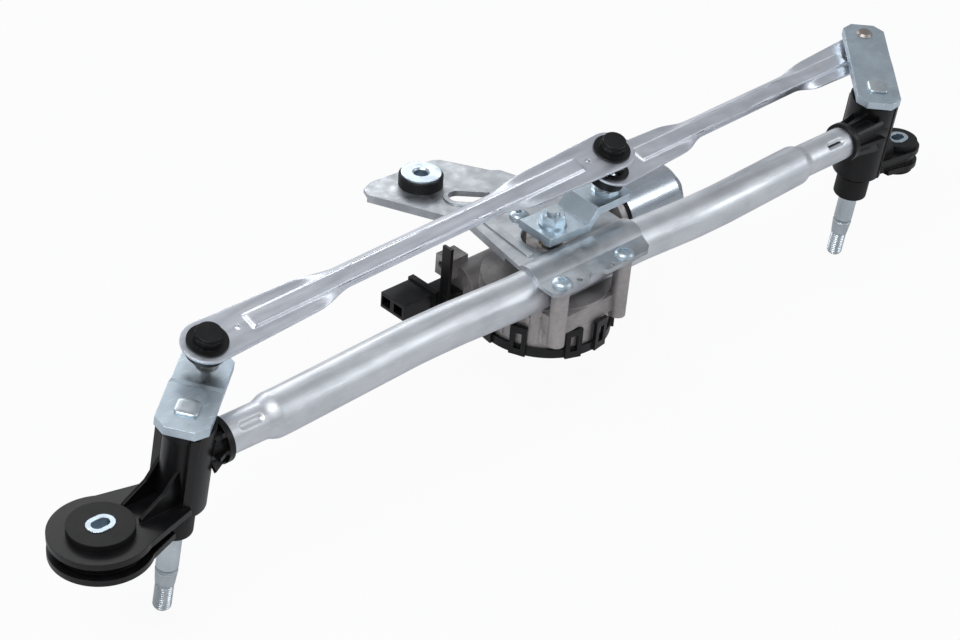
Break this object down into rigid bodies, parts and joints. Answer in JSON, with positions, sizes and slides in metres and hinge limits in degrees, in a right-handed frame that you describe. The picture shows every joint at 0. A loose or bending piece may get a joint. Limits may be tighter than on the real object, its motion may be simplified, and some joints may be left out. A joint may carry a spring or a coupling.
{
  "type": "wiper linkage",
  "caption": "Windscreen wiper linkage: a tube frame joins two pivot housings and a gear motor whose crank swings both spindle levers through pressed link rods.",
  "frame": {"origin": "middle of the mounting bush in the motor plate's rear arm, on the bush axis", "axes": "+Z along the bush axis and the motor's output shaft, up out of the plate on the crank's side; +X along the frame tube from the pivot whose lever is the shorter to the other one; +Y from the tube towards the plate's rear arm"},
  "size_m": [0.6779, 0.152, 0.1718],
  "materials": {
    "aluminium_tube": "satin",
    "cast_aluminium": "cast",
    "zinc_steel": "zinc plated",
    "plate_steel": "satin",
    "bright_steel": "bright",
    "spring_steel": "dark",
    "housing_plastic": "moulded",
    "socket_plastic": "moulded",
    "wheel_plastic": "moulded",
    "brown_board": "pressed",
    "rubber": "matte",
    "bronze": "sintered",
    "copper": "machined",
    "ferrite": "sintered",
    "core_steel": "laminated"
  },
  "bodies": {
    "frame": {"frame_tube": "aluminium_tube", "near_housing": "housing_plastic", "far_housing": "housing_plastic", "near_bearings": "bronze", "far_bearings": "bronze", "near_grommet": "rubber", "far_grommet": "rubber", "near_sleeve": "zinc_steel", "far_sleeve": "zinc_steel", "near_seal": "rubber", "far_seal": "rubber", "motor_plate": "plate_steel", "plate_grommet": "rubber", "plate_bush": "zinc_steel", "plate_screws": "zinc_steel", "gear_housing": "cast_aluminium", "gear_cover": "housing_plastic", "motor_connector": "housing_plastic", "connector_pins": "copper", "shaft_bushes": "bronze", "can_seal": "rubber", "motor_can": "zinc_steel", "magnets": "ferrite", "brush_holder": "brown_board", "shaft_bearings": "bronze"},
    "crank": {"crank": "zinc_steel", "output_shaft": "bright_steel", "worm_wheel": "wheel_plastic", "crank_nut": "zinc_steel", "crank_ball_stud": "bright_steel", "crank_washers": "bright_steel"},
    "near_arm": {"near_lever": "zinc_steel", "near_spindle": "bright_steel", "near_washers": "bright_steel", "near_circlip": "spring_steel", "near_ball_stud": "bright_steel"},
    "far_arm": {"far_lever": "zinc_steel", "far_spindle": "bright_steel", "far_washers": "bright_steel", "far_circlip": "spring_steel", "far_ball_stud": "bright_steel"},
    "near_link": {"near_rod": "zinc_steel", "near_socket": "socket_plastic", "crank_socket_top": "socket_plastic"},
    "far_link": {"far_rod": "zinc_steel", "far_socket": "socket_plastic", "crank_socket_low": "socket_plastic"},
    "armature": {"armature_shaft": "bright_steel", "armature_core": "core_steel", "commutator": "copper"}
  },
  "joints": [
    {"name": "crank_turn", "type": "hinge", "parent": "frame", "child": "crank", "pos_m": [0.0196, -0.088, 0.0013], "axis": [0, 0, 1], "range_deg": [0, 60]},
    {"name": "near_arm_swing", "type": "hinge", "parent": "frame", "child": "near_arm", "pos_m": [-0.2524, -0.1046, -0.0101], "axis": [0.052, -0.1045, 0.9932], "range_deg": [-0.5, 32]},
    {"name": "far_arm_swing", "type": "hinge", "parent": "frame", "child": "far_arm", "pos_m": [0.2966, -0.1016, -0.0101], "axis": [-0.052, -0.1045, 0.9932], "range_deg": [-0.5, 20]},
    {"name": "near_link_turn", "type": "hinge", "parent": "crank", "child": "near_link", "pos_m": [0.05955, -0.09009, 0.0405], "axis": [0, 0, 1], "range_deg": [-57, 0.5]},
    {"name": "far_link_turn", "type": "hinge", "parent": "crank", "child": "far_link", "pos_m": [0.05955, -0.09009, 0.0279], "axis": [0, 0, 1], "range_deg": [-67, 0.5]},
    {"name": "armature_spin", "type": "hinge", "parent": "frame", "child": "armature", "pos_m": [0.0196, -0.0515, -0.0367], "axis": [1, 0, 0], "range_deg": [-1, 2641]}
  ],
  "couplings": [
    {"joint": "near_arm_swing", "follows": "crank_turn", "ratio": 0.5145},
    {"joint": "far_arm_swing", "follows": "crank_turn", "ratio": 0.3063},
    {"joint": "near_link_turn", "follows": "crank_turn", "ratio": -0.92},
    {"joint": "far_link_turn", "follows": "crank_turn", "ratio": -1.0848},
    {"joint": "armature_spin", "follows": "crank_turn", "ratio": 44}
  ]
}
